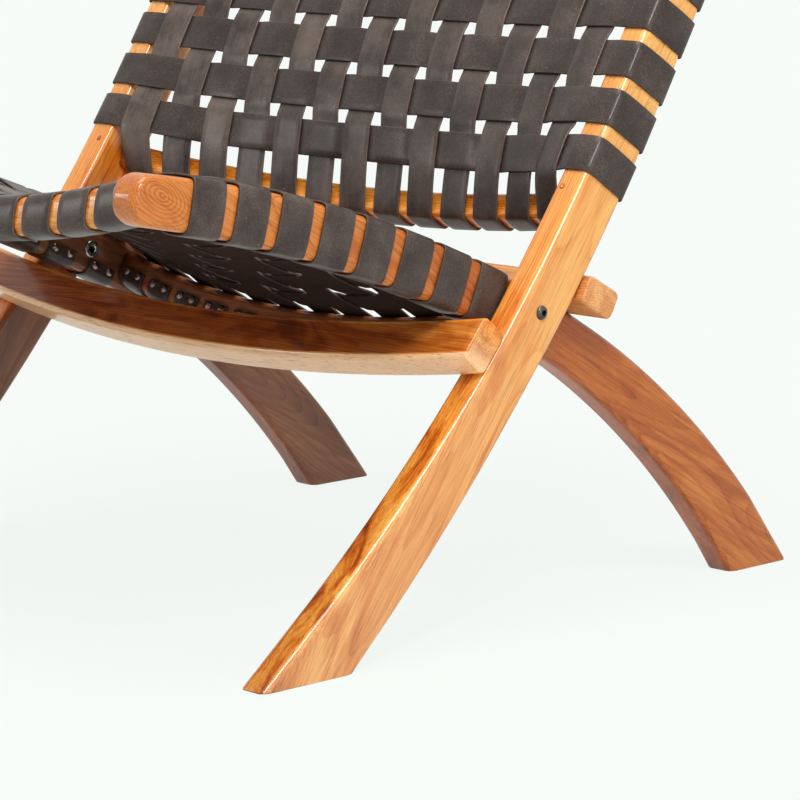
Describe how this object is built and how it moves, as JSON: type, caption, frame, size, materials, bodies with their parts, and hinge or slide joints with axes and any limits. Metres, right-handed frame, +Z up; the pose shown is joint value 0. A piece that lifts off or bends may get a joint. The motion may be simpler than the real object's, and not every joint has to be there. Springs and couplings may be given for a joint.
{
  "type": "folding lounge chair",
  "caption": "Folding lounge chair with crossed teak frames that turn on side bolts, and a dished seat and reclined back woven from dark leather straps.",
  "frame": {"origin": "on the floor under the middle of the chair's bounding box", "axes": "+Z up, the sitter faces -Y, +X to the right as seen from the front"},
  "size_m": [0.608, 0.7166, 0.7313],
  "materials": {
    "teak": "oiled and polished teak, amber, with fine dark grain",
    "leather": "smooth dark brown strap leather with paler cut edges",
    "steel": "plain steel fittings"
  },
  "bodies": {
    "back_frame": {"back_post_left": "teak", "back_post_right": "teak", "back_lower_rail": "teak", "back_top_rail": "teak", "front_stretcher": "teak", "pivot_bolt_left": "steel", "pivot_bolt_right": "steel", "pivot_nut_left": "steel", "pivot_nut_right": "steel", "back_upright_strap_01": "leather", "back_upright_strap_02": "leather", "back_upright_strap_03": "leather", "back_upright_strap_04": "leather", "back_upright_strap_05": "leather", "back_upright_strap_06": "leather", "back_upright_strap_07": "leather", "back_upright_strap_08": "leather", "back_upright_strap_09": "leather", "back_upright_strap_10": "leather", "back_upright_strap_11": "leather", "back_upright_strap_12": "leather", "back_upright_strap_13": "leather", "back_cross_strap_01": "leather", "back_cross_strap_02": "leather", "back_cross_strap_03": "leather", "back_cross_strap_04": "leather", "back_cross_strap_05": "leather", "back_cross_strap_06": "leather", "back_cross_strap_07": "leather", "back_cross_strap_08": "leather", "back_cross_strap_09": "leather", "back_cross_strap_10": "leather"},
    "seat_frame": {"seat_rail_left": "teak", "seat_rail_right": "teak", "seat_front_rail": "teak", "seat_rear_rail": "teak", "stop_bar": "teak", "seat_long_strap_01": "leather", "seat_long_strap_02": "leather", "seat_long_strap_03": "leather", "seat_long_strap_04": "leather", "seat_long_strap_05": "leather", "seat_long_strap_06": "leather", "seat_long_strap_07": "leather", "seat_long_strap_08": "leather", "seat_long_strap_09": "leather", "seat_long_strap_10": "leather", "seat_long_strap_11": "leather", "seat_long_strap_12": "leather", "seat_cross_strap_01": "leather", "seat_cross_strap_02": "leather", "seat_cross_strap_03": "leather", "seat_cross_strap_04": "leather", "seat_cross_strap_05": "leather", "seat_cross_strap_06": "leather", "seat_cross_strap_07": "leather", "seat_cross_strap_08": "leather", "seat_cross_strap_09": "leather"}
  },
  "joints": [
    {"name": "seat_fold", "type": "hinge", "parent": "back_frame", "child": "seat_frame", "pos_m": [0, 0.01294, 0.2465], "axis": [-1, 0, 0], "range_deg": [0, 76]}
  ]
}
